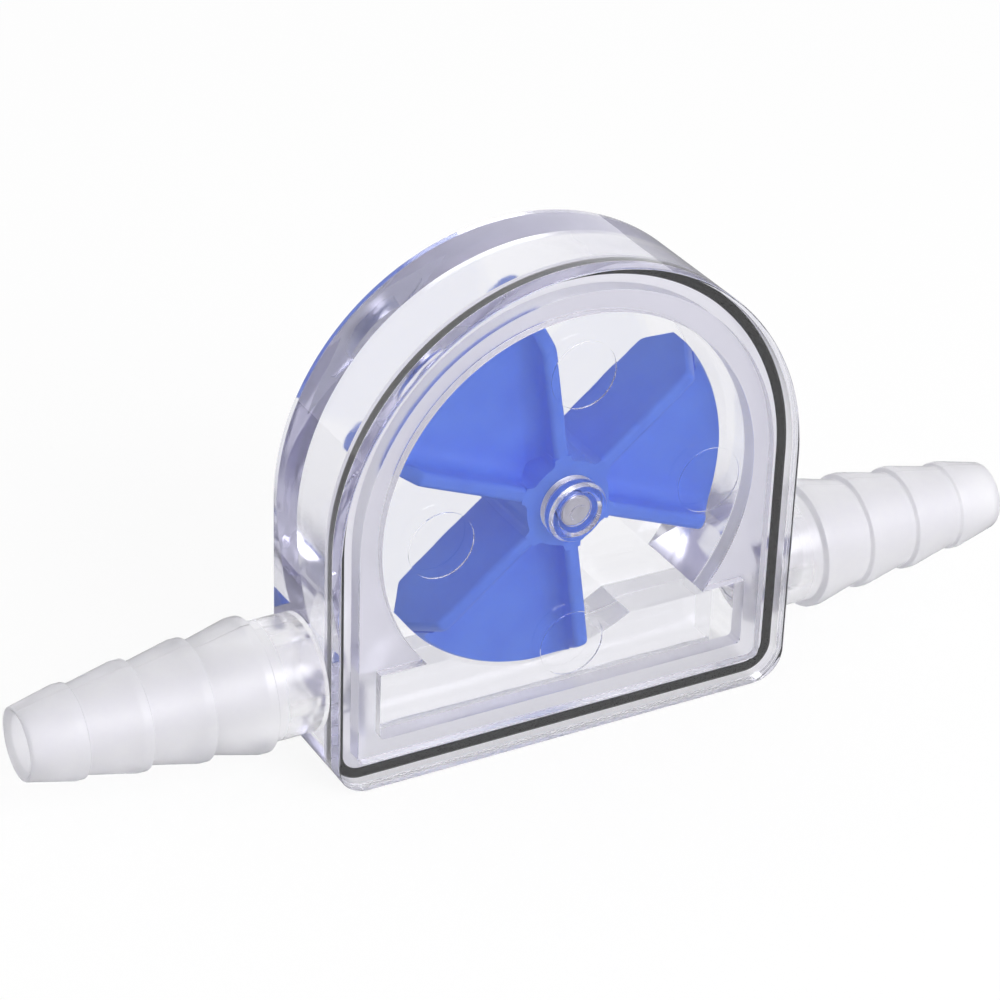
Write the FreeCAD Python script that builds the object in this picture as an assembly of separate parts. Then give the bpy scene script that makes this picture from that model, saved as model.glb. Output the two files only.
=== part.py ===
import FreeCAD, Part
import math
import os

from FreeCAD import Vector

# In-line hose flow indicator: a clear D-shaped housing with a clear front cover,
# a paddle rotor that turns on a fixed axle, and a stepped hose barb on each side.
# Millimetres. +X runs along the hose line to the outlet, +Y to the back, +Z up.
# The origin is the middle of the base, half-way through the depth.

# Body
body_width = 45.0
axis_height = 22.7
housing_depth = 11.4
wall = 2.2
back_plate = 2.0
base_corner_radius = 3.0
inner_corner_radius = 0.5

# Front cover
flange_thickness = 1.5
skirt_wall = 2.05
skirt_depth = 1.6
skirt_gap = 0.05
mouth_gap = 0.1
cover_gap = 0.05
nose_diameter = 5.7
nose_height = 0.35
thrust_boss_diameter = 5.6

# Cover seal
seal_cord = 0.94
seal_sides = 8
seal_gap = 0.03
seal_lip = 0.3
seal_seat_depth = 1.5

# Rotor chamber
ledge_drop = 11.9
cradle_drop = 15.2
cradle_half_length = 17.8
cradle_depth = 5.0
cradle_gap = 0.55

# Rotor
rotor_rim_gap = 1.05
rotor_turn = 38.5
vane_count = 6
vane_thickness = 1.4
vane_front_taper = 1.95
vane_front_rake = 3.2
vane_back_taper = 2.15
vane_back_rake = 2.5
web_thickness = 1.2
web_from_front = 2.85
hub_diameter = 8.0
hub_fillet = 1.0
web_fillet = 0.9
rotor_front_gap = 0.9
rotor_back_gap = 0.45

# Axle
axle_diameter = 3.0
axle_running_gap = 0.05
axle_seat_gap = 0.02
axle_socket_depth = 1.6
end_play = 0.15

# Hose barbs, from the body outwards
port_height = 9.1
port_from_mouth = 5.35
port_bore = 5.0
port_relief = 0.25
crest_diameters = [12.0, 10.8, 9.7, 8.3]
crest_steps = [0.7, 0.5, 0.45, 0.3]
crest_land = 0.8
crest_slope = 0.15
first_crest = 5.8
crest_pitch = 5.43
tip_length = 4.05
tip_diameter = 6.4
spigot_wall = 0.9
bond_gap = 0.05

# Planes through the depth, from the front to the back
depth = nose_height + flange_thickness + cover_gap + housing_depth
y_back = depth / 2
y_plate = y_back - back_plate
y_mouth = y_back - housing_depth
y_part = y_mouth - cover_gap
y_face = y_part - flange_thickness
y_nose = y_face - nose_height
y_skirt_end = y_part + skirt_depth
y_rotor_back = y_plate - rotor_back_gap
y_rotor_front = y_part + rotor_front_gap
y_web = y_rotor_front + web_from_front
y_back_boss = y_rotor_back + end_play
y_cover_boss = y_rotor_front - end_play
y_port = y_mouth + port_from_mouth
y_seat = y_mouth + seal_seat_depth

# Insets from the outer outline
skirt_inset = wall + skirt_gap
window_inset = skirt_inset + skirt_wall
seal_inset = seal_lip + seal_gap + seal_cord / 2

# Radii that fits are made from
half_width = body_width / 2
channel_half = half_width - wall
chamber_radius = half_width - window_inset
rotor_radius = chamber_radius - rotor_rim_gap
vane_front_radius = rotor_radius - vane_front_taper
vane_back_radius = rotor_radius - vane_back_taper
cradle_radius = rotor_radius + cradle_gap
socket_radius = axle_diameter / 2 + axle_seat_gap
spigot_radius = port_bore / 2 + spigot_wall
rotor_depth = y_rotor_back - y_rotor_front
sector_angle = 360 / vane_count

axis_point = Vector(0, 0, axis_height)
port_point = Vector(0, y_port, port_height)
to_right = Vector(1, 0, 0)
to_back = Vector(0, 1, 0)
to_front = Vector(0, -1, 0)
upward = Vector(0, 0, 1)


def d_outline(inset, y):
    """Closed D outline: flat base, straight sides and a round crown about the rotor axis."""
    half = half_width - inset
    corner = max(base_corner_radius - inset, inner_corner_radius)
    bend = corner * (1 - math.sqrt(0.5))
    low = inset + corner

    def at(x, z):
        return Vector(x, y, z)

    curves = [
        Part.LineSegment(at(half, axis_height), at(half, low)),
        Part.Arc(at(half, low), at(half - bend, inset + bend), at(half - corner, inset)),
        Part.LineSegment(at(half - corner, inset), at(corner - half, inset)),
        Part.Arc(at(corner - half, inset), at(bend - half, inset + bend), at(-half, low)),
        Part.LineSegment(at(-half, low), at(-half, axis_height)),
        Part.Arc(at(-half, axis_height), at(0, axis_height + half), at(half, axis_height)),
    ]
    return Part.Wire([curve.toShape() for curve in curves])


def d_block(inset, y_from, y_to):
    """Solid of the D outline between two planes."""
    return Part.Face(d_outline(inset, y_from)).extrude(to_back * (y_to - y_from))


def disc(diameter, y_from, y_to, centre=axis_point):
    """Round solid along Y between two planes, on the rotor axis unless told otherwise."""
    return Part.makeCylinder(diameter / 2, y_to - y_from, Vector(centre.x, y_from, centre.z), to_back)


def cross_bar(radius, x_from, x_to):
    """Round solid along X on the ports' common axis."""
    return Part.makeCylinder(radius, x_to - x_from, Vector(x_from, y_port, port_height), to_right)


def spoke_point(radius, angle):
    """Point at a radius and an angle about the rotor axis, from +X towards +Z."""
    turn = math.radians(angle)
    return axis_point + Vector(radius * math.cos(turn), 0, radius * math.sin(turn))


def chamber_space(inset, y_from, y_to):
    """Hollow of the round chamber, which widens to the D outline below the ledges of the two side lugs."""
    below_ledge = Part.makeBox(body_width, y_to - y_from, axis_height - ledge_drop)
    below_ledge.translate(Vector(-half_width, y_from, 0))
    channel = d_block(inset, y_from, y_to).common(below_ledge)
    return disc(2 * chamber_radius, y_from, y_to).fuse(channel)


def make_rear_housing():
    """Deep cup with a round chamber, a port in each side, and a flow cradle under the rotor."""
    shell = d_block(0, y_mouth, y_back)
    chamber = chamber_space(wall, y_mouth, y_plate)
    mouth = d_block(wall, y_mouth, y_skirt_end + mouth_gap)
    seal_seat = d_block(seal_lip, y_mouth, y_seat)
    shell = shell.cut([chamber, mouth, seal_seat])

    # Ports: a socket for the barb's spigot in each wall, and the bore on through the lug
    sockets = cross_bar(spigot_radius + bond_gap, -body_width, body_width)
    bores = cross_bar(port_bore / 2 + port_relief, -half_width, half_width)
    inside = Part.makeBox(2 * channel_half, depth, 2 * axis_height)
    inside.translate(Vector(-channel_half, -depth / 2, 0))
    shell = shell.cut([sockets.cut(inside), bores])

    # The cradle stands on the floor and the back plate, hollowed to clear the rotor
    cradle_height = axis_height - cradle_drop - wall / 2
    cradle = Part.makeBox(2 * cradle_half_length, cradle_depth + back_plate / 2, cradle_height)
    cradle.translate(Vector(-cradle_half_length, y_plate - cradle_depth, wall / 2))
    cradle = cradle.cut(disc(2 * cradle_radius, y_mouth, y_back))
    boss = disc(thrust_boss_diameter, y_back_boss, y_plate + back_plate / 2)
    shell = shell.fuse([cradle, boss])

    socket = disc(2 * socket_radius, y_back_boss, y_back_boss + axle_socket_depth)
    return shell.cut(socket).removeSplitter()


def make_front_cover():
    """Window plate with a skirt that plugs into the housing and a boss for the axle."""
    plate = d_block(0, y_face, y_part)
    skirt = d_block(skirt_inset, y_part, y_skirt_end)
    skirt = skirt.cut(chamber_space(window_inset, y_part, y_skirt_end))
    nose = disc(nose_diameter, y_nose, y_part)
    boss = disc(thrust_boss_diameter, y_face + flange_thickness / 2, y_cover_boss)
    cover = plate.fuse([skirt, nose, boss])
    socket = disc(2 * socket_radius, y_cover_boss - axle_socket_depth, y_cover_boss)
    return cover.cut(socket).removeSplitter()


def make_cover_seal():
    """Rubber cord of many-sided section that lies in the seat, against the lip of the housing's mouth."""
    y_seal = y_seat - seal_gap - seal_cord / 2
    path = d_outline(seal_inset, y_seal)
    start = Vector(half_width - seal_inset, y_seal, axis_height)
    half_side = math.pi / seal_sides
    corner_radius = seal_cord / 2 / math.cos(half_side)
    corners = []
    for count in range(seal_sides):
        turn = half_side * (2 * count + 1)
        corners.append(start + Vector(math.cos(turn), math.sin(turn), 0) * corner_radius)
    section = Part.makePolygon(corners + corners[:1])
    return path.makePipeShell([section], True, False)


def make_rotor():
    """Paddle wheel: vanes along the axis, joined in pairs by a flat web with coved corners."""
    profile = [
        (0, y_rotor_front),
        (vane_front_radius, y_rotor_front),
        (rotor_radius, y_rotor_front + vane_front_rake),
        (rotor_radius, y_rotor_back - vane_back_rake),
        (vane_back_radius, y_rotor_back),
        (0, y_rotor_back),
    ]
    section = Part.makePolygon([axis_point + Vector(r, y, 0) for r, y in profile + profile[:1]])
    envelope = Part.Face(section).revolve(axis_point, to_back, 360)

    vane = Part.makeBox(rotor_radius, rotor_depth, vane_thickness)
    vane.translate(Vector(0, y_rotor_front, axis_height - vane_thickness / 2))
    vanes = [spun(vane, count) for count in range(vane_count)]
    wheel = disc(hub_diameter, y_rotor_front, y_rotor_back).fuse(vanes).removeSplitter()
    wheel = wheel.makeFillet(hub_fillet, hub_corners(wheel))

    webs = []
    for count in range(1, vane_count, 2):
        webs.append(spun(make_web(), count))
        for face in (-1, 1):
            webs.append(spun(make_cove(face, 1), count))
            webs.append(spun(make_cove(face, -1), count + 1))
    wheel = wheel.fuse(webs).common(envelope)
    bore = disc(axle_diameter + 2 * axle_running_gap, y_rotor_front, y_rotor_back)
    return wheel.cut(bore).removeSplitter()


def spun(shape, count):
    """Copy turned about the rotor axis to the place of one of the vanes."""
    turned = shape.copy()
    turned.rotate(axis_point, to_front, rotor_turn + sector_angle * count)
    return turned


def hub_corners(wheel):
    """Edges along the axis where the vanes meet the hub."""
    found = []
    for edge in wheel.Edges:
        box = edge.BoundBox
        span = box.Center - axis_point
        if box.YLength > rotor_depth / 2 and math.hypot(span.x, span.z) < hub_diameter / 2 + hub_fillet:
            if isinstance(edge.Curve, Part.Line):
                found.append(edge)
    return found


def make_web():
    """Flat sector from the first vane's middle to the next one's."""
    first = spoke_point(rotor_radius, 0)
    middle = spoke_point(rotor_radius, sector_angle / 2)
    last = spoke_point(rotor_radius, sector_angle)
    rim = Part.Arc(first, middle, last).toShape()
    sector = Part.Wire([Part.makeLine(axis_point, first), rim, Part.makeLine(last, axis_point)])
    web = Part.Face(sector).extrude(to_back * web_thickness)
    web.translate(to_back * y_web)
    return web


def make_cove(face, side):
    """Concave corner strip along a vane, on one face of the web and one side of the vane (-1 or 1 each)."""
    lap = vane_thickness / 4
    reach = web_fillet + lap
    middle = y_web + web_thickness / 2
    y_corner = middle + face * web_thickness / 2
    z_corner = axis_height + side * vane_thickness / 2
    strip = Part.makeBox(rotor_radius, reach, reach)
    y_low = min(y_corner - face * lap, y_corner + face * web_fillet)
    z_low = min(z_corner - side * lap, z_corner + side * web_fillet)
    strip.translate(Vector(0, y_low, z_low))
    centre = Vector(-lap, y_corner + face * web_fillet, z_corner + side * web_fillet)
    return strip.cut(Part.makeCylinder(web_fillet, rotor_radius + 2 * lap, centre, to_right))


def make_rotor_axle():
    """Plain pin held at both ends."""
    y_from = y_cover_boss - axle_socket_depth + axle_seat_gap
    y_to = y_back_boss + axle_socket_depth - axle_seat_gap
    return disc(axle_diameter, y_from, y_to)


def make_barb():
    """Outlet barb: a spigot through the wall, then stepped crests that shrink towards the tip."""
    x_inner = channel_half + bond_gap
    x_root = half_width + bond_gap
    outer = [(x_inner, port_bore / 2), (x_inner, spigot_radius), (x_root, spigot_radius)]
    radius = crest_diameters[0] / 2 - crest_steps[0]
    outer.append((x_root, radius))
    for count, diameter in enumerate(crest_diameters):
        x_crest = half_width + first_crest + crest_pitch * count
        radius = diameter / 2
        outer.append((x_crest - crest_land - crest_slope, radius - crest_steps[count]))
        outer.append((x_crest - crest_land, radius))
        outer.append((x_crest, radius))
    x_tip = x_crest + tip_length
    outer.append((x_tip, tip_diameter / 2))
    outer.append((x_tip, port_bore / 2))
    points = [Vector(x, y_port, port_height + r) for x, r in outer]
    profile = Part.Face(Part.makePolygon(points + points[:1]))
    return profile.revolve(port_point, to_right, 360)


outlet_barb = make_barb()
inlet_barb = outlet_barb.copy()
inlet_barb.rotate(port_point, upward, 180)

nodes = {
    "rear_housing": make_rear_housing(),
    "front_cover": make_front_cover(),
    "cover_seal": make_cover_seal(),
    "inlet_barb": inlet_barb,
    "outlet_barb": outlet_barb,
    "rotor": make_rotor(),
    "rotor_axle": make_rotor_axle(),
}

os.makedirs("parts", exist_ok=True)
for name, shape in nodes.items():
    box = shape.BoundBox
    print(name, "solids", len(shape.Solids), "valid", shape.isValid(), "volume", round(shape.Volume, 2),
          "box", [round(v, 2) for v in (box.XMin, box.YMin, box.ZMin, box.XMax, box.YMax, box.ZMax)])
    shape.exportStep("parts/" + name + ".step")
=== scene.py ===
import math

import bmesh
import bpy
import numpy as np
from mathutils import Matrix, Vector


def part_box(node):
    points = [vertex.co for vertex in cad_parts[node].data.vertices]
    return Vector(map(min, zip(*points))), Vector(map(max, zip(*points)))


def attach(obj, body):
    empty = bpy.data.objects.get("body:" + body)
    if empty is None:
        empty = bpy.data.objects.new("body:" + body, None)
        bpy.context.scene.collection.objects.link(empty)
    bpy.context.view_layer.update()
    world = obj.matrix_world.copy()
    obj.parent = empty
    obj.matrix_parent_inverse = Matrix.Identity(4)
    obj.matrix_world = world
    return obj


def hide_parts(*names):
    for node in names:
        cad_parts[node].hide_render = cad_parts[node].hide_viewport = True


# Flow indicator: clear D-shaped housing and window, blue paddle rotor, black cover seal, frosted hose barbs.
# Lengths of the pieces are millimetres; +X runs along the hoses, +Y to the back, +Z up.
# The size of the floor, the lamp's size and place and the camera's clip are metres.

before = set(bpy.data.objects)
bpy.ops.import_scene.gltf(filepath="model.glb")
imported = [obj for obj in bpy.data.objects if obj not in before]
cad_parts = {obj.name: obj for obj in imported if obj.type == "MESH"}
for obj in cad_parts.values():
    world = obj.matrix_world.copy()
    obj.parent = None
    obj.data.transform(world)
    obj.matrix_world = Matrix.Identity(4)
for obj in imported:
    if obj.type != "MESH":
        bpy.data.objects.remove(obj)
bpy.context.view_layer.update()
mm = 0.001
print("frame loaded:", ", ".join(sorted(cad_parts)))


def boxOf(node):
    low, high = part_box(node)
    return np.array(low) / mm, np.array(high) / mm


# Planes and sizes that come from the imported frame
housingLow, housingHigh = boxOf("rear_housing")
coverLow, coverHigh = boxOf("front_cover")
sealLow, sealHigh = boxOf("cover_seal")
barbLow, barbHigh = boxOf("outlet_barb")
rotorLow, rotorHigh = boxOf("rotor")
axleLow, axleHigh = boxOf("rotor_axle")
halfWidth = housingHigh[0]
axisHeight = (axleLow[2] + axleHigh[2]) / 2
yBack, yMouth = housingHigh[1], housingLow[1]
ySkirtEnd, yNose = coverHigh[1], coverLow[1]
portY = (barbLow[1] + barbHigh[1]) / 2
portZ = (barbLow[2] + barbHigh[2]) / 2


# Mesh making

def gridFaces(rows, columns, closeRows, closeColumns):
    # quads between neighbouring grid points; a closed direction also joins its last line to its first
    r = np.arange(rows if closeRows else rows - 1)
    c = np.arange(columns if closeColumns else columns - 1)
    r, c = [a.ravel() for a in np.meshgrid(r, c, indexing="ij")]
    rNext, cNext = (r + 1) % rows, (c + 1) % columns
    return np.stack([r * columns + c, r * columns + cNext, rNext * columns + cNext, rNext * columns + c], 1)


def newPiece(name, points, faces):
    # points in millimetres go into the mesh in metres, and all faces are turned to point outwards
    mesh = bpy.data.meshes.new(name)
    mesh.from_pydata((np.asarray(points).reshape(-1, 3) * mm).tolist(), [], faces)
    work = bmesh.new()
    work.from_mesh(mesh)
    bmesh.ops.recalc_face_normals(work, faces=work.faces)
    work.to_mesh(mesh)
    work.free()
    piece = bpy.data.objects.new(name, mesh)
    bpy.context.scene.collection.objects.link(piece)
    return piece


def closedTube(name, grid):
    # a grid that closes on itself both ways, like a ring or a hollow turned part
    rows, columns = grid.shape[:2]
    return newPiece(name, grid, gridFaces(rows, columns, True, True).tolist())


def stackedBlock(name, rings):
    # outlines stacked one on the next, with a flat cap on the first and on the last
    rows, columns = rings.shape[:2]
    faces = gridFaces(rows, columns, False, True).tolist()
    faces += [list(range(columns)), list(range((rows - 1) * columns, rows * columns))]
    return newPiece(name, rings, faces)


def reshape(piece, tools, operation):
    # exact Boolean with each tool in turn, kept as the piece's own mesh
    for tool in tools:
        step = piece.modifiers.new(operation.lower(), "BOOLEAN")
        step.operation = operation
        step.solver = "EXACT"
        step.object = tool
    view = bpy.context.evaluated_depsgraph_get()
    mesh = bpy.data.meshes.new_from_object(piece.evaluated_get(view))
    piece.modifiers.clear()
    old = piece.data
    piece.data = mesh
    bpy.data.meshes.remove(old)
    mesh.name = piece.name
    for tool in tools:
        toolMesh = tool.data
        bpy.data.objects.remove(tool)
        bpy.data.meshes.remove(toolMesh)


def shadeByAngle(piece, degrees):
    mesh = piece.data
    mesh.polygons.foreach_set("use_smooth", np.ones(len(mesh.polygons), bool))
    mesh.set_sharp_from_angle(angle=math.radians(degrees))


def placePiece(piece, body, slot, material, *nodes):
    piece.data.materials.clear()
    piece.data.materials.append(material)
    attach(piece, body)
    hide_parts(*nodes)


# Outlines in the XZ plane

bodyShape = {
    "wall": 2.2,
    "windowInset": 4.3,
    "ledgeDrop": 11.9,
    "baseCorner": 3.0,
    "leastCorner": 0.5,
    "edgeRound": 0.15,
    "crownSteps": 480,
    "cornerSteps": 24,
    "edgeSteps": 9,
    "crease": 5,
}


def arcPoints(centreX, centreZ, radius, fromAngle, toAngle, steps):
    turn = np.linspace(math.radians(fromAngle), math.radians(toAngle), steps)
    return np.stack([centreX + radius * np.cos(turn), centreZ + radius * np.sin(turn)], 1)


def bodyOutline(inset):
    # D outline moved inwards: round crown about the rotor axis, straight sides, two base corners
    half = halfWidth - inset
    corner = max(bodyShape["baseCorner"] - inset, bodyShape["leastCorner"])
    crown = arcPoints(0, axisHeight, half, 0, 180, bodyShape["crownSteps"])
    left = arcPoints(corner - half, inset + corner, corner, 180, 270, bodyShape["cornerSteps"])
    right = arcPoints(half - corner, inset + corner, corner, 270, 360, bodyShape["cornerSteps"])
    return np.concatenate([crown, left, right])


def chamberOutline(inset):
    # round chamber that opens below the ledges of the two side lugs to a channel at the given inset
    radius = halfWidth - bodyShape["windowInset"]
    half = halfWidth - inset
    ledgeZ = axisHeight - bodyShape["ledgeDrop"]
    corner = max(bodyShape["baseCorner"] - inset, bodyShape["leastCorner"])
    dip = math.degrees(math.asin(bodyShape["ledgeDrop"] / radius))
    crown = arcPoints(0, axisHeight, radius, -dip, 180 + dip, bodyShape["crownSteps"])
    left = arcPoints(corner - half, inset + corner, corner, 180, 270, bodyShape["cornerSteps"])
    right = arcPoints(half - corner, inset + corner, corner, 270, 360, bodyShape["cornerSteps"])
    return np.concatenate([crown, [[-half, ledgeZ]], left, right, [[half, ledgeZ]]])


def circleOutline(radius, centreX=0, centreZ=None, steps=128):
    centreZ = axisHeight if centreZ is None else centreZ
    return arcPoints(centreX, centreZ, radius, 0, 360, steps + 1)[:-1]


def atDepth(outline, y):
    # an XZ outline as points at one depth
    return np.stack([outline[:, 0], np.full(len(outline), y), outline[:, 1]], 1)


def yBlock(name, outline, yFrom, yTo):
    return stackedBlock(name, np.stack([atDepth(outline, yFrom), atDepth(outline, yTo)]))


def xCylinder(name, radius, xFrom, xTo, steps=96):
    # round bar along X on the ports' axis
    turn = np.linspace(0, 2 * math.pi, steps, endpoint=False)
    ring = np.stack([np.zeros(steps), portY + radius * np.cos(turn), portZ + radius * np.sin(turn)], 1)
    return stackedBlock(name, np.stack([ring + [xFrom, 0, 0], ring + [xTo, 0, 0]]))


def roundedPlate(name, yFlat, yOuter):
    # D block from one plane to another, with a quarter-round edge at the outer one
    radius = bodyShape["edgeRound"]
    side = np.sign(yOuter - yFlat)
    rings = [atDepth(bodyOutline(0), yFlat)]
    for turn in np.linspace(0, math.pi / 2, bodyShape["edgeSteps"]):
        inset, back = radius * (1 - np.cos(turn)), radius * (1 - np.sin(turn))
        rings.append(atDepth(bodyOutline(inset), yOuter - side * back))
    return stackedBlock(name, np.stack(rings))


# Materials

grainRange = (0.3, 0.7)  # most of a noise's values lie between these


def newMaterial(name):
    material = bpy.data.materials.new(name)
    material.use_nodes = True
    tree = material.node_tree
    return material, tree, tree.nodes["Principled BSDF"]


def setSockets(node, values):
    for socket, value in values.items():
        node.inputs[socket].default_value = value


def link(tree, fromNode, fromSocket, toNode, toSocket):
    tree.links.new(fromNode.outputs[fromSocket], toNode.inputs[toSocket])


def objectGrain(tree, scale, detail=2.0):
    # noise on the piece's own Object coordinates, with scale counted in features per metre
    place = tree.nodes.new("ShaderNodeTexCoord")
    noise = tree.nodes.new("ShaderNodeTexNoise")
    setSockets(noise, {"Scale": scale, "Detail": detail})
    link(tree, place, "Object", noise, "Vector")
    return noise


def shadesBetween(tree, grain, dark, light):
    # two shades of a finish over the middle of the noise's range
    ramp = tree.nodes.new("ShaderNodeValToRGB")
    for stop, place, colour in zip(ramp.color_ramp.elements, grainRange, (dark, light)):
        stop.position, stop.color = place, colour
    link(tree, grain, "Fac", ramp, "Fac")
    return ramp


def valuesBetween(tree, source, socket, ends, values):
    # a source's range carried into the range of a shader's socket
    span = tree.nodes.new("ShaderNodeMapRange")
    setSockets(span, {"From Min": ends[0], "From Max": ends[1], "To Min": values[0], "To Max": values[1]})
    link(tree, source, socket, span, "Value")
    return span


def mathNode(tree, operation, *values):
    node = tree.nodes.new("ShaderNodeMath")
    node.operation = operation
    for socket, value in zip(node.inputs, values):
        socket.default_value = value
    return node


def bumpFrom(tree, grain, depth):
    bump = tree.nodes.new("ShaderNodeBump")
    setSockets(bump, {"Strength": 1.0, "Distance": depth * mm})
    link(tree, grain, "Fac", bump, "Height")
    return bump


clearLook = {
    "dim": (0.985, 0.985, 0.992, 1),
    "bright": (1.0, 1.0, 1.0, 1),
    "ior": 1.57,
    "roughness": (0.0, 0.025),
    "jointRoughness": 0.3,
    "jointSoftness": 0.1,
    "jointInset": 0.25,
    "jointShadeColour": (0.955, 0.945, 1.0, 1),
    "chamberRoughness": 0.12,
    "chamberInset": 4.6,
    "bossRoughness": 0.4,
    "bossReach": 3.2,
    "bossDepth": 2.4,
    "baseRoughness": 0.45,
    "tint": (0.70, 0.69, 0.83, 1),
    "density": 32.0,
    "waveScale": 110.0,
    "waveDepth": 0.05,
}


def clearPlastic(p):
    # polished clear moulding: faint flow waves in the surface and a lilac tint in its depth
    material, tree, shader = newMaterial("clearPlastic")
    setSockets(shader, {"IOR": p["ior"], "Transmission Weight": 1.0})
    wave = objectGrain(tree, p["waveScale"])
    link(tree, bumpFrom(tree, wave, p["waveDepth"]), "Normal", shader, "Normal")

    # how far a point lies from the axis: down the straight sides by width alone, and as a true distance
    place = tree.nodes.new("ShaderNodeTexCoord")
    split = tree.nodes.new("ShaderNodeSeparateXYZ")
    link(tree, place, "Object", split, "Vector")
    above = mathNode(tree, "SUBTRACT", 0, axisHeight * mm)
    crown = mathNode(tree, "MAXIMUM", 0, 0)
    width = mathNode(tree, "ABSOLUTE", 0)
    across = tree.nodes.new("ShaderNodeCombineXYZ")
    reach = tree.nodes.new("ShaderNodeVectorMath")
    reach.operation = "LENGTH"
    link(tree, split, "Z", above, 0)
    link(tree, above, "Value", crown, 0)
    link(tree, split, "X", width, 0)
    link(tree, width, "Value", across, "X")
    link(tree, crown, "Value", across, "Z")
    link(tree, across, "Vector", reach, "Vector")
    aside = tree.nodes.new("ShaderNodeCombineXYZ")
    spoke = tree.nodes.new("ShaderNodeVectorMath")
    spoke.operation = "LENGTH"
    link(tree, width, "Value", aside, "X")
    link(tree, above, "Value", aside, "Z")
    link(tree, aside, "Vector", spoke, "Vector")
    soft, lip = p["jointSoftness"], p["jointInset"]
    inWall = [(reach, "Value", halfWidth - lip + soft, halfWidth - lip), (split, "Z", lip - soft, lip)]

    def zone(edges):
        # 1 where every coordinate is past its inside value, 0 where one is still at its outside value
        product = mathNode(tree, "ADD", 1, 0)
        for source, socket, outside, inside in edges:
            mask = valuesBetween(tree, source, socket, (outside * mm, inside * mm), (0, 1))
            step = mathNode(tree, "MULTIPLY", 1, 1)
            link(tree, product, "Value", step, 0)
            link(tree, mask, "Result", step, 1)
            product = step
        return product

    # the joint's faces are matt and carry a painted lilac shade: between the parting plane and the skirt's
    # end, inside the outer wall
    joint = zone([(split, "Y", yMouth, yMouth + soft),
                  (split, "Y", ySkirtEnd + 2 * soft, ySkirtEnd + soft)] + inWall)

    # the chamber's wall and lugs behind the joint are a little matt
    inner = halfWidth - p["chamberInset"]
    chamber = zone([(split, "Y", ySkirtEnd + soft, ySkirtEnd + 2 * soft),
                    (split, "Y", yBack - soft, yBack - 2 * soft),
                    (spoke, "Value", inner, inner + soft)] + inWall)

    # the axle's boss in the back plate is matt
    near, deep = p["bossReach"], yBack - p["bossDepth"]
    boss = zone([(split, "Y", deep - soft, deep),
                 (split, "Y", yBack - soft, yBack - 2 * soft),
                 (width, "Value", near + soft, near),
                 (split, "Z", axisHeight - near - soft, axisHeight - near),
                 (split, "Z", axisHeight + near + soft, axisHeight + near)])
    # painted shade: the joint band's base colour takes a slightly darker lilac tint, standing in for the
    # shaded band seen through the joint
    paintedJointShade = tree.nodes.new("ShaderNodeMixRGB")
    setSockets(paintedJointShade, {"Color2": p["jointShadeColour"]})
    link(tree, joint, "Value", paintedJointShade, "Fac")
    link(tree, shadesBetween(tree, wave, p["dim"], p["bright"]), "Color", paintedJointShade, "Color1")
    link(tree, paintedJointShade, "Color", shader, "Base Color")

    # roughness: the faint waves and the base that it stands on, then the boss, the chamber and the joint
    base = valuesBetween(tree, split, "Z", (soft * mm, 0), (0, p["baseRoughness"]))
    stood = mathNode(tree, "ADD", 0, 0)
    blunt = mathNode(tree, "MULTIPLY_ADD", 0, p["bossRoughness"], 0)
    soften = mathNode(tree, "MULTIPLY_ADD", 0, p["chamberRoughness"], 0)
    rough = mathNode(tree, "MULTIPLY_ADD", 0, p["jointRoughness"], 0)
    link(tree, valuesBetween(tree, wave, "Fac", grainRange, p["roughness"]), "Result", stood, 0)
    link(tree, base, "Result", stood, 1)
    link(tree, chamber, "Value", soften, 0)
    link(tree, boss, "Value", blunt, 0)
    link(tree, stood, "Value", blunt, 2)
    link(tree, blunt, "Value", soften, 2)
    link(tree, joint, "Value", rough, 0)
    link(tree, soften, "Value", rough, 2)
    link(tree, rough, "Value", shader, "Roughness")
    absorb = tree.nodes.new("ShaderNodeVolumeAbsorption")
    setSockets(absorb, {"Color": p["tint"], "Density": p["density"]})
    link(tree, absorb, "Volume", tree.nodes["Material Output"], "Volume")
    return material


frostLook = {
    "dim": (0.955, 0.948, 0.985, 1),
    "bright": (0.985, 0.98, 1.0, 1),
    "ior": 1.5,
    "rootReach": (23.0, 30.0),
    "roughness": (0.14, 0.42),
    "transmission": (0.97, 0.8),
    "grainScale": 900.0,
    "grainDetail": 4.0,
    "grainDepth": 0.012,
}


def frostedPlastic(p):
    # milky moulding with a fine frost, clearer at its root in the housing's wall
    material, tree, shader = newMaterial("frostedPlastic")
    setSockets(shader, {"IOR": p["ior"]})
    grain = objectGrain(tree, p["grainScale"], p["grainDetail"])
    link(tree, shadesBetween(tree, grain, p["dim"], p["bright"]), "Color", shader, "Base Color")
    link(tree, bumpFrom(tree, grain, p["grainDepth"]), "Normal", shader, "Normal")
    place = tree.nodes.new("ShaderNodeTexCoord")
    split = tree.nodes.new("ShaderNodeSeparateXYZ")
    away = mathNode(tree, "ABSOLUTE")
    link(tree, place, "Object", split, "Vector")
    link(tree, split, "X", away, 0)
    reach = [x * mm for x in p["rootReach"]]
    for socket, ends in (("Roughness", p["roughness"]), ("Transmission Weight", p["transmission"])):
        link(tree, valuesBetween(tree, away, "Value", reach, ends), "Result", shader, socket)
    return material


blueLook = {
    "deep": (0.093, 0.225, 0.95, 1),
    "bright": (0.12, 0.275, 1.0, 1),
    "specular": 0.3,
    "roughness": (0.34, 0.46),
    "grainScale": 260.0,
    "grainDetail": 3.0,
    "grainDepth": 0.006,
}


def bluePlastic(p):
    # satin moulding with a slight flow pattern
    material, tree, shader = newMaterial("bluePlastic")
    setSockets(shader, {"Specular IOR Level": p["specular"]})
    grain = objectGrain(tree, p["grainScale"], p["grainDetail"])
    link(tree, shadesBetween(tree, grain, p["deep"], p["bright"]), "Color", shader, "Base Color")
    link(tree, valuesBetween(tree, grain, "Fac", grainRange, p["roughness"]), "Result", shader, "Roughness")
    link(tree, bumpFrom(tree, grain, p["grainDepth"]), "Normal", shader, "Normal")
    return material


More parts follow.
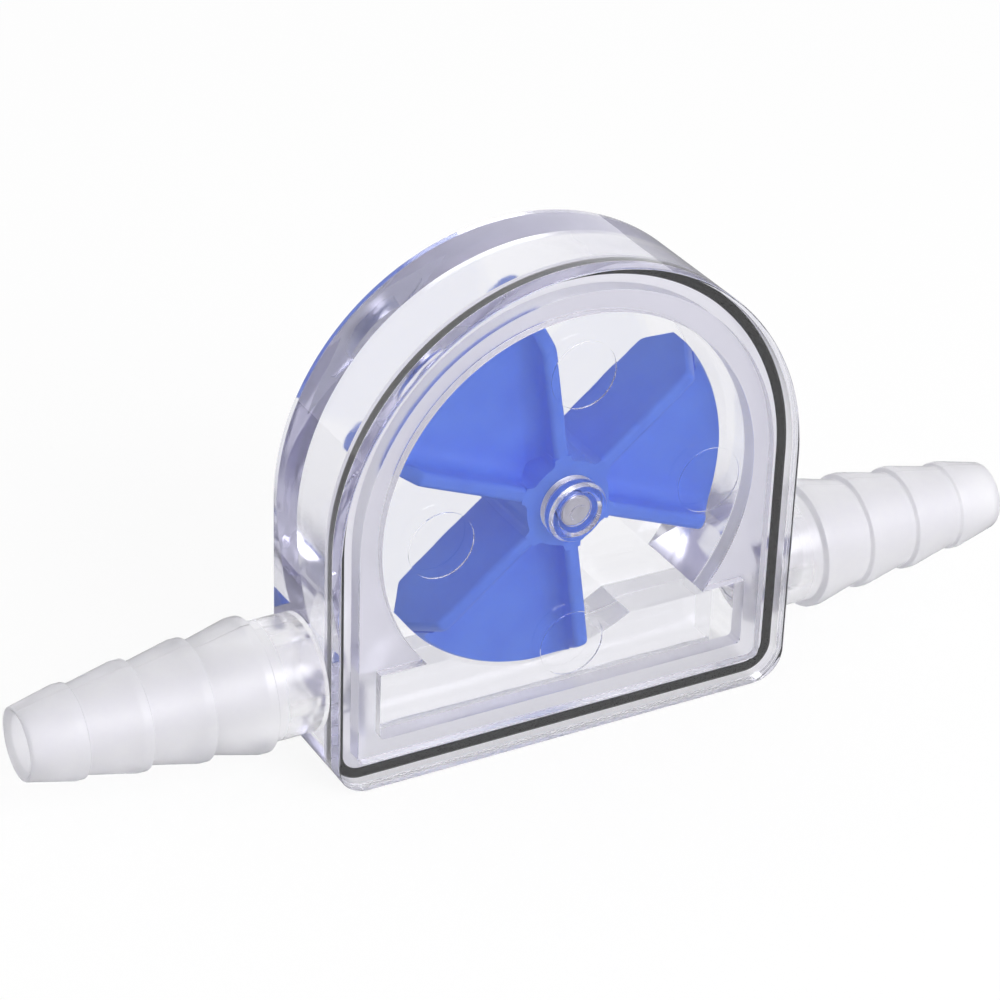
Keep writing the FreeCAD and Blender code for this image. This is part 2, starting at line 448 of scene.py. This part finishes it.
rubberLook = {
    "deep": (0.002, 0.002, 0.003, 1),
    "worn": (0.005, 0.005, 0.006, 1),
    "specular": 0.06,
    "roughness": (0.1, 0.2),
    "grainScale": 1500.0,
    "grainDetail": 3.0,
    "grainDepth": 0.004,
}


def blackRubber(p):
    # smooth moulded cord with a little bloom
    material, tree, shader = newMaterial("blackRubber")
    setSockets(shader, {"Specular IOR Level": p["specular"]})
    grain = objectGrain(tree, p["grainScale"], p["grainDetail"])
    link(tree, shadesBetween(tree, grain, p["deep"], p["worn"]), "Color", shader, "Base Color")
    link(tree, valuesBetween(tree, grain, "Fac", grainRange, p["roughness"]), "Result", shader, "Roughness")
    link(tree, bumpFrom(tree, grain, p["grainDepth"]), "Normal", shader, "Normal")
    return material


steelLook = {
    "dark": (0.40, 0.39, 0.46, 1),
    "bright": (0.58, 0.57, 0.65, 1),
    "roughness": (0.14, 0.3),
    "ringScale": 2600.0,
    "ringDistortion": 3.0,
    "ringDetail": 2.0,
    "ringDepth": 0.004,
}


def groundSteel(p):
    # turned rings about the rotor axis
    material, tree, shader = newMaterial("groundSteel")
    setSockets(shader, {"Metallic": 1.0})
    place = tree.nodes.new("ShaderNodeTexCoord")
    centre = tree.nodes.new("ShaderNodeMapping")
    setSockets(centre, {"Location": (0, 0, -axisHeight * mm)})
    rings = tree.nodes.new("ShaderNodeTexWave")
    rings.wave_type = "RINGS"
    rings.rings_direction = "Y"
    setSockets(rings, {"Scale": p["ringScale"], "Distortion": p["ringDistortion"], "Detail": p["ringDetail"]})
    link(tree, place, "Object", centre, "Vector")
    link(tree, centre, "Vector", rings, "Vector")
    link(tree, shadesBetween(tree, rings, p["dark"], p["bright"]), "Color", shader, "Base Color")
    link(tree, valuesBetween(tree, rings, "Fac", (0, 1), p["roughness"]), "Result", shader, "Roughness")
    link(tree, bumpFrom(tree, rings, p["ringDepth"]), "Normal", shader, "Normal")
    return material


finishes = {
    "clear": clearPlastic(clearLook),
    "frosted": frostedPlastic(frostLook),
    "blue": bluePlastic(blueLook),
    "rubber": blackRubber(rubberLook),
    "steel": groundSteel(steelLook),
}
print("finishes made:", ", ".join(finishes))


# Rear housing

rearHousing = {
    "backPlate": 2.0,
    "lipInset": 0.3,
    "seatDepth": 1.5,
    "mouthGap": 0.1,
    "cradleDrop": 15.2,
    "cradleHalfLength": 17.8,
    "cradleDepth": 5.0,
    "cradleRadius": 17.7,
    "cradleSteps": 240,
    "bossRadius": 2.8,
    "bossHeight": 0.3,
    "socketRadius": 1.52,
    "socketDepth": 1.6,
    "portRadius": 3.45,
    "overcut": 1.0,
}


def makeRearHousing(p):
    yPlate = yBack - p["backPlate"]
    yFloor = ySkirtEnd + p["mouthGap"]
    over = p["overcut"]
    shell = roundedPlate("housing_shell", yMouth, yBack)
    cuts = [
        yBlock("chamber", chamberOutline(bodyShape["wall"]), yFloor - over / 2, yPlate),
        yBlock("mouth", bodyOutline(bodyShape["wall"]), yMouth - over, yFloor),
        yBlock("sealSeat", bodyOutline(p["lipInset"]), yMouth - over, yMouth + p["seatDepth"]),
    ]
    for side in (-1, 1):
        inner, outer = sorted([side * (halfWidth - bodyShape["wall"]), side * (halfWidth + over)])
        cuts.append(xCylinder("portSocket", p["portRadius"], inner, outer))
    reshape(shell, cuts, "DIFFERENCE")

    # cradle of the flow under the rotor, standing on the floor and the back plate
    low, high = bodyShape["wall"] - over, axisHeight - p["cradleDrop"]
    half = p["cradleHalfLength"]
    section = np.array([[-half, high], [-half, low], [half, low], [half, high]])
    cradle = yBlock("cradle", section, yPlate - p["cradleDepth"], yPlate + over)
    sweep = yBlock("sweep", circleOutline(p["cradleRadius"], steps=p["cradleSteps"]), yMouth, yBack)
    reshape(cradle, [sweep], "DIFFERENCE")
    socketFrom = yPlate - p["bossHeight"]
    boss = yBlock("boss", circleOutline(p["bossRadius"]), socketFrom, yPlate + over)
    reshape(shell, [cradle, boss], "UNION")
    socketTo = socketFrom + p["socketDepth"]
    socket = yBlock("axleSocket", circleOutline(p["socketRadius"]), socketFrom - over, socketTo)
    reshape(shell, [socket], "DIFFERENCE")
    shadeByAngle(shell, bodyShape["crease"])
    placePiece(shell, "body", "clear_plastic", finishes["clear"], "rear_housing")
    print("rear housing:", len(shell.data.polygons), "faces")


makeRearHousing(rearHousing)


# Front cover

frontCover = {
    "partGap": 0.05,
    "skirtInset": 2.25,
    "noseRadius": 2.85,
    "noseHeight": 0.35,
    "noseSlope": 0.25,
    "dimpleRadius": 2.15,
    "dimpleDepth": 0.25,
    "gateRadius": 0.8,
    "gateHeight": 0.08,
    "bossRadius": 2.8,
    "bossDepth": 0.75,
    "socketRadius": 1.52,
    "socketDepth": 1.6,
    "markRadius": 3.1,
    "markSpread": 13.1,
    "markDepth": 0.15,
    "markAngles": (0, 90, 180, 270),
    "overlap": 0.5,
}


def coneBlock(name, yFrom, fromOutline, yTo, toOutline):
    # sloping block from one outline to another
    return stackedBlock(name, np.stack([atDepth(fromOutline, yFrom), atDepth(toOutline, yTo)]))


def makeFrontCover(p):
    yPart = yMouth - p["partGap"]
    yFace = yNose + p["noseHeight"]
    lap = p["overlap"]
    cover = roundedPlate("front_window", yPart, yFace)
    skirt = yBlock("skirt", bodyOutline(p["skirtInset"]), yPart - lap, ySkirtEnd)
    hollow = yBlock("hollow", chamberOutline(bodyShape["windowInset"]), yPart, ySkirtEnd + lap)
    reshape(skirt, [hollow], "DIFFERENCE")
    noseTop, noseFoot = circleOutline(p["noseRadius"] - p["noseSlope"]), circleOutline(p["noseRadius"])
    noseRings = [atDepth(noseTop, yNose), atDepth(noseFoot, yFace), atDepth(noseFoot, yFace + lap)]
    nose = stackedBlock("nose", np.stack(noseRings))
    boss = yBlock("boss", circleOutline(p["bossRadius"]), yPart - lap, yPart + p["bossDepth"])
    reshape(cover, [skirt, nose, boss], "UNION")
    socketEnd = yPart + p["bossDepth"]
    cuts = [yBlock("socket", circleOutline(p["socketRadius"]), socketEnd - p["socketDepth"], socketEnd + lap)]
    for angle in p["markAngles"]:
        turn = math.radians(angle)
        centre = p["markSpread"] * np.array([math.cos(turn), math.sin(turn)])
        ring = circleOutline(p["markRadius"], centre[0], axisHeight + centre[1])
        cuts.append(yBlock("mark", ring, yFace - lap, yFace + p["markDepth"]))
    yDimple = yNose + p["dimpleDepth"]
    dimpleFoot = circleOutline(p["dimpleRadius"] - p["dimpleDepth"])
    dimpleTop = circleOutline(p["dimpleRadius"] + p["dimpleDepth"])
    cuts.append(coneBlock("dimple", yNose - p["dimpleDepth"], dimpleTop, yDimple, dimpleFoot))
    reshape(cover, cuts, "DIFFERENCE")
    gateTop, gateFoot = circleOutline(p["gateRadius"] - p["gateHeight"]), circleOutline(p["gateRadius"])
    gate = coneBlock("gate", yDimple - p["gateHeight"], gateTop, yDimple + p["gateHeight"], gateFoot)
    reshape(cover, [gate], "UNION")
    shadeByAngle(cover, bodyShape["crease"])
    placePiece(cover, "body", "clear_plastic", finishes["clear"], "front_cover")
    print("front cover:", len(cover.data.polygons), "faces")


makeFrontCover(frontCover)


# Cover seal

coverSeal = {"squeeze": 0.62, "sectionSteps": 32, "crease": 60}


def makeCoverSeal(p):
    # circle of (inset, depth) points, squeezed flat in its seat and carried round the D outline
    radius = (sealHigh[1] - sealLow[1]) / 2
    middleInset = halfWidth - sealHigh[0] + radius
    middleY = (sealHigh[1] + sealLow[1]) / 2
    turn = np.linspace(0, 2 * math.pi, p["sectionSteps"], endpoint=False)
    flat = radius * p["squeeze"]
    rings = [atDepth(bodyOutline(middleInset + radius * np.cos(t)), middleY + flat * np.sin(t)) for t in turn]
    seal = closedTube("seal_cord", np.stack(rings))
    shadeByAngle(seal, p["crease"])
    placePiece(seal, "body", "black_rubber", finishes["rubber"], "cover_seal")
    print("cover seal:", len(seal.data.polygons), "faces")


makeCoverSeal(coverSeal)


# Hose barbs

hoseBarb = {
    "boreRadius": 2.5,
    "spigotRadius": 3.4,
    "crestRadii": (6.0, 5.4, 4.85, 4.15),
    "crestSteps": (0.7, 0.5, 0.45, 0.3),
    "crestLand": 0.8,
    "crestSlope": 0.15,
    "firstCrest": 5.8,
    "crestPitch": 5.43,
    "bondGap": 0.05,
    "tipRadius": 3.2,
    "tipRound": 0.25,
    "mouthChamfer": 0.5,
    "crestRound": 0.12,
    "seamHeight": 0.045,
    "seamHalfWidth": 0.09,
    "seamCrowding": 0.42,
    "aroundSteps": 200,
    "cornerSteps": 5,
    "crease": 35,
}


cornerShare = 0.45  # the most of its shorter side that a corner's curve takes


def roundedProfile(points, radii, steps):
    # each corner becomes a short curve between the points a radius before and after it
    points = np.asarray(points, float)
    before = np.roll(points, 1, 0) - points
    after = np.roll(points, -1, 0) - points
    beforeLength = np.linalg.norm(before, axis=1)
    afterLength = np.linalg.norm(after, axis=1)
    reach = np.minimum(np.asarray(radii, float), cornerShare * np.minimum(beforeLength, afterLength))
    start = points + before / beforeLength[:, None] * reach[:, None]
    end = points + after / afterLength[:, None] * reach[:, None]
    t = np.linspace(0, 1, steps)[None, :, None]
    curve = (1 - t) ** 2 * start[:, None] + 2 * t * (1 - t) * points[:, None] + t ** 2 * end[:, None]
    return curve.reshape(-1, 2)


def makeBarb(name, node, side, p):
    # closed (along, radius) profile turned about the port's axis
    rootX = halfWidth + p["bondGap"]
    innerX = barbLow[0]
    tipX = barbHigh[0]
    profile = [(innerX, p["boreRadius"]), (innerX, p["spigotRadius"]), (rootX, p["spigotRadius"])]
    profile.append((rootX, p["crestRadii"][0] - p["crestSteps"][0]))
    for count, crest in enumerate(p["crestRadii"]):
        crestX = halfWidth + p["firstCrest"] + p["crestPitch"] * count
        profile.append((crestX - p["crestLand"] - p["crestSlope"], crest - p["crestSteps"][count]))
        profile.append((crestX - p["crestLand"], crest))
        profile.append((crestX, crest))
    profile += [(tipX, p["tipRadius"]), (tipX, p["boreRadius"] + p["mouthChamfer"]),
                (tipX - p["mouthChamfer"], p["boreRadius"])]
    radii = np.full(len(profile), p["crestRound"])
    radii[-3] = p["tipRound"]
    along, radius = roundedProfile(profile, radii, p["cornerSteps"]).T

    # the two mould halves meet in a fine seam along the top and bottom, where the angles crowd together
    share = np.linspace(0, 1, p["aroundSteps"], endpoint=False)
    turn = 2 * math.pi * share + p["seamCrowding"] * np.sin(4 * math.pi * share)
    corner = np.repeat(np.arange(len(profile)), p["cornerSteps"])
    outside = (corner > 3) & (corner < len(profile) - 2)
    seam = p["seamHeight"] * np.exp(-(radius[:, None] * np.cos(turn) / p["seamHalfWidth"]) ** 2)
    reach = radius[:, None] + outside[:, None] * seam
    grid = np.empty((len(along), len(turn), 3))
    grid[..., 0] = side * along[:, None]
    grid[..., 1] = portY + reach * np.cos(turn)
    grid[..., 2] = portZ + reach * np.sin(turn)
    barb = closedTube(name, grid)
    shadeByAngle(barb, p["crease"])
    placePiece(barb, "body", "frosted_plastic", finishes["frosted"], node)
    print(name + ":", len(barb.data.polygons), "faces")


makeBarb("barb_left", "inlet_barb", -1, hoseBarb)
makeBarb("barb_right", "outlet_barb", 1, hoseBarb)


# Rotor

paddleRotor = {
    "turn": 38.5,
    "vanes": 6,
    "vaneHalf": 0.7,
    "frontRadius": 15.2,
    "frontRake": 3.2,
    "backRadius": 15.0,
    "backRake": 2.5,
    "webFromFront": 2.85,
    "webThickness": 1.2,
    "cove": 1.5,
    "coveLimit": 0.97,
    "edgeRound": 0.5,
    "rakeSoftness": 0.25,
    "hubRadius": 4.0,
    "hubBlend": 7.0,
    "hubReach": 4.7,
    "hubSteps": 720,
    "flankSink": 0.01,
    "boreRadius": 1.55,
    "overcut": 1.0,
    "innerSections": (2.6, 14.4, 20),
    "rimSections": (14.6, 22),
    "webSteps": 24,
    "arcSteps": 7,
    "crease": 30,
}


def rakedEnd(radius, flat, startRadius, rimRadius, rake, soften):
    # flat end that slopes in towards the rim, with a soft bend between
    slope = rake / (rimRadius - startRadius)
    past = radius - startRadius
    return flat + slope * (past + np.sqrt(past ** 2 + soften ** 2)) / 2


def vanePair(name, middleAngle, p):
    # Two vanes and the web between, on cylinders about the axis: each point is a radius, an offset from the
    # vane's middle plane or a share of the web, and a depth for the front face and one for the back face.
    rimRadius = rotorHigh[0]
    yFront, yRear = rotorLow[1], rotorHigh[1]
    half, cove, edge = p["vaneHalf"], p["cove"], p["edgeRound"]
    webFront = yFront + p["webFromFront"]
    webBack = webFront + p["webThickness"]
    rimFrom, rimCount = p["rimSections"]
    rimRadii = np.linspace(rimFrom, rimRadius, rimCount)
    radius = np.concatenate([np.linspace(*p["innerSections"]), rimRadii])[:, None]
    soften = p["rakeSoftness"]
    endFront = rakedEnd(radius, yFront, p["frontRadius"], rimRadius, p["frontRake"], soften)
    endBack = yRear + yFront - rakedEnd(radius, yFront, p["backRadius"], rimRadius, p["backRake"], soften)

    bend = np.linspace(0, math.pi / 2, p["arcSteps"])
    rise, run = edge * (1 - np.sin(bend)), edge * (1 - np.cos(bend))
    dip = cove * np.sin(bend)
    offset = np.concatenate([run - half, half - run[::-1], half + cove * (1 - np.cos(bend))])
    ends = np.concatenate([rise, rise[::-1]])[None, :]
    ones = np.ones_like(radius)
    front = np.concatenate([endFront + ends, ones * (webFront - cove + dip)[None, :]], 1)
    back = np.concatenate([endBack - ends, ones * (webBack + cove - dip)[None, :]], 1)
    spread = math.pi / p["vanes"]
    angle = np.minimum(np.arcsin(offset[None, :] / radius), p["coveLimit"] * spread) - spread
    share = np.linspace(0, 1, p["webSteps"] + 2)[1:-1][None, :]
    middle = angle[:, -1:] * (1 - 2 * share)
    angle = np.concatenate([angle, middle, -angle[:, ::-1]], 1)
    web = np.ones_like(middle)
    front = np.concatenate([front, webFront * web, front[:, ::-1]], 1)
    back = np.concatenate([back, webBack * web, back[:, ::-1]], 1)
    front = np.maximum(front, endFront)
    back = np.minimum(back, endBack)

    turn = angle + math.radians(middleAngle)
    x, z = radius * np.cos(turn), axisHeight + radius * np.sin(turn)
    loops = np.stack([np.stack([x, front, z], 2), np.stack([x, back, z], 2)[:, ::-1]], 1)
    return stackedBlock(name, loops.reshape(len(radius), -1, 3))


def makeRotor(p):
    yFront, yRear = rotorLow[1], rotorHigh[1]
    step = 360 / p["vanes"]
    pairs = [vanePair("pair", p["turn"] + step * (count + 0.5), p) for count in range(1, p["vanes"], 2)]

    # hub outline: polar radius that grows smoothly from the round hub to each vane's flank
    turn = np.linspace(0, 2 * math.pi, p["hubSteps"], endpoint=False)
    away = np.abs(np.sin((turn - math.radians(p["turn"])) * p["vanes"] / 2)) * 2 / p["vanes"]
    flank = (p["vaneHalf"] - p["flankSink"]) / np.maximum(away, 1e-6)
    radius = (p["hubRadius"] ** p["hubBlend"] + flank ** p["hubBlend"]) ** (1 / p["hubBlend"])
    radius = np.minimum(radius, p["hubReach"])
    outer = np.stack([radius * np.cos(turn), axisHeight + radius * np.sin(turn)], 1)
    inner = circleOutline(p["boreRadius"], steps=len(turn))
    rings = [atDepth(outer, yFront), atDepth(outer, yRear), atDepth(inner, yRear), atDepth(inner, yFront)]
    wheel = closedTube("paddle_wheel", np.stack(rings))
    reshape(wheel, pairs, "UNION")
    over = p["overcut"]
    bore = yBlock("bore", circleOutline(p["boreRadius"]), yFront - over, yRear + over)
    reshape(wheel, [bore], "DIFFERENCE")
    shadeByAngle(wheel, p["crease"])
    placePiece(wheel, "rotor", "blue_plastic", finishes["blue"], "rotor")
    print("rotor:", len(wheel.data.polygons), "faces")


makeRotor(paddleRotor)


# Axle

rotorAxle = {"radius": 1.5, "chamfer": 0.2, "steps": 96, "crease": 30}


def makeAxle(p):
    ring = circleOutline(p["radius"], steps=p["steps"])
    end = circleOutline(p["radius"] - p["chamfer"], steps=p["steps"])
    yFrom, yTo = axleLow[1], axleHigh[1]
    rings = [atDepth(end, yFrom), atDepth(ring, yFrom + p["chamfer"]),
             atDepth(ring, yTo - p["chamfer"]), atDepth(end, yTo)]
    pin = stackedBlock("axle_pin", np.stack(rings))
    shadeByAngle(pin, p["crease"])
    placePiece(pin, "body", "axle_steel", finishes["steel"], "rotor_axle")
    print("axle:", len(pin.data.polygons), "faces")


makeAxle(rotorAxle)


# Floor, light and camera

studio = {
    "floorSize": 4.0,
    "floorGap": 0.05,
    "floorColour": (0.96, 0.96, 0.96, 1),
    "floorRoughness": 0.9,
    "floorGlowSeen": 0.9,
    "floorGlowThrough": 0.95,
    "floorGloss": 0.28,
    "worldLight": 0.7,
    "frontToBack": (-0.6, 0.3),
    "frontGloss": (0.32, 0.31, 0.38, 1),
    "frontThrough": (0.63, 0.62, 0.74, 1),
    "lampPower": 2.4,
    "lampSize": 0.35,
    "lampPlace": (0.14, -0.48, 0.32),
    "clearBounces": 64,
    "diffuseBounces": 6,
}


def makeFloor(p):
    half = p["floorSize"] / 2
    z = -p["floorGap"] * mm
    corners = [(-half, -half, z), (half, -half, z), (half, half, z), (-half, half, z)]
    mesh = bpy.data.meshes.new("floor")
    mesh.from_pydata(corners, [], [(0, 1, 2, 3)])
    floor = bpy.data.objects.new("floor", mesh)
    bpy.context.scene.collection.objects.link(floor)
    material, tree, shader = newMaterial("paleFloor")
    setSockets(shader, {"Base Color": p["floorColour"], "Roughness": p["floorRoughness"]})
    setSockets(shader, {"Specular IOR Level": 0.0})

    # plain white for most of what looks at it, straight or through plastic, dimmer in glosses;
    # the rest is lit and takes the shadow
    glow = tree.nodes.new("ShaderNodeEmission")
    path = tree.nodes.new("ShaderNodeLightPath")
    gloss = mathNode(tree, "SUBTRACT")
    gloss.use_clamp = True  # a ray that came through plastic also counts as glossy
    seen = mathNode(tree, "MULTIPLY_ADD", 0, p["floorGlowSeen"])
    share = mathNode(tree, "MULTIPLY_ADD", 0, p["floorGlowThrough"])
    mix = tree.nodes.new("ShaderNodeMixShader")
    level = valuesBetween(tree, gloss, "Value", (0, 1), (1, p["floorGloss"]))
    link(tree, path, "Is Glossy Ray", gloss, 0)
    link(tree, path, "Is Transmission Ray", gloss, 1)
    link(tree, level, "Result", glow, "Strength")
    link(tree, path, "Is Camera Ray", seen, 0)
    link(tree, gloss, "Value", seen, 2)
    link(tree, path, "Is Transmission Ray", share, 0)
    link(tree, seen, "Value", share, 2)
    link(tree, share, "Value", mix, "Fac")
    link(tree, shader, "BSDF", mix, 1)
    link(tree, glow, "Emission", mix, 2)
    link(tree, mix, "Shader", tree.nodes["Material Output"], "Surface")
    mesh.materials.append(material)


def makeWorld(p):
    # even light and a white backdrop; the front side is dim in glosses and lilac-grey through the plastic
    world = bpy.data.worlds.new("studio")
    bpy.context.scene.world = world
    world.use_nodes = True
    tree = world.node_tree
    tree.nodes.clear()
    output = tree.nodes.new("ShaderNodeOutputWorld")
    path = tree.nodes.new("ShaderNodeLightPath")
    place = tree.nodes.new("ShaderNodeTexCoord")
    split = tree.nodes.new("ShaderNodeSeparateXYZ")
    link(tree, place, "Generated", split, "Vector")
    way = valuesBetween(tree, split, "Y", p["frontToBack"], (0, 1))
    white = (1, 1, 1, 1)

    def background(strength, front):
        # from the front colour to white at the back
        node = tree.nodes.new("ShaderNodeBackground")
        ramp = tree.nodes.new("ShaderNodeValToRGB")
        ramp.color_ramp.elements[0].color = front
        ramp.color_ramp.elements[1].color = white
        setSockets(node, {"Strength": strength})
        link(tree, way, "Result", ramp, "Fac")
        link(tree, ramp, "Color", node, "Color")
        return node

    last, socket = background(p["worldLight"], white), "Background"
    for ray, front in (("Is Glossy Ray", p["frontGloss"]), ("Is Transmission Ray", p["frontThrough"]),
                       ("Is Camera Ray", white)):
        mix = tree.nodes.new("ShaderNodeMixShader")
        link(tree, path, ray, mix, "Fac")
        link(tree, last, socket, mix, 1)
        link(tree, background(1.0, front), "Background", mix, 2)
        last, socket = mix, "Shader"
    link(tree, last, socket, output, "Surface")


def makeLamp(p):
    # one broad soft box above and in front, to the right
    data = bpy.data.lights.new("softBox", "AREA")
    data.energy = p["lampPower"]
    data.size = p["lampSize"]
    lamp = bpy.data.objects.new("softBox", data)
    bpy.context.scene.collection.objects.link(lamp)
    place = Vector(p["lampPlace"])
    aim = Vector((0, 0, axisHeight * mm)) - place
    lamp.matrix_world = Matrix.Translation(place) @ aim.to_track_quat("-Z", "Y").to_matrix().to_4x4()


photoCamera = {
    "azimuth": -29.6,
    "elevation": 29.37,
    "roll": 1.99,
    "lookAt": (-4.33, -0.45, 21.98),
    "distance": 283.6,
    "lens": 118.8,
    "clip": (0.01, 10.0),
}


def makeCamera(p):
    azimuth, elevation = math.radians(p["azimuth"]), math.radians(p["elevation"])
    back = Vector((math.sin(azimuth) * math.cos(elevation), -math.cos(azimuth) * math.cos(elevation),
                   math.sin(elevation)))
    data = bpy.data.cameras.new("photoCamera")
    data.lens = p["lens"]
    data.clip_start, data.clip_end = p["clip"]
    camera = bpy.data.objects.new("photoCamera", data)
    bpy.context.scene.collection.objects.link(camera)
    turn = (-back).to_track_quat("-Z", "Y").to_matrix().to_4x4()
    roll = Matrix.Rotation(math.radians(p["roll"]), 4, "Z")
    place = (Vector(p["lookAt"]) + back * p["distance"]) * mm
    camera.matrix_world = Matrix.Translation(place) @ turn @ roll
    bpy.context.scene.camera = camera


makeFloor(studio)
makeWorld(studio)
makeLamp(studio)
paths = bpy.context.scene.cycles
paths.max_bounces = paths.transmission_bounces = paths.glossy_bounces = studio["clearBounces"]
paths.diffuse_bounces = studio["diffuseBounces"]
makeCamera(photoCamera)
bpy.context.scene.view_settings.view_transform = "Standard"
print("studio ready")
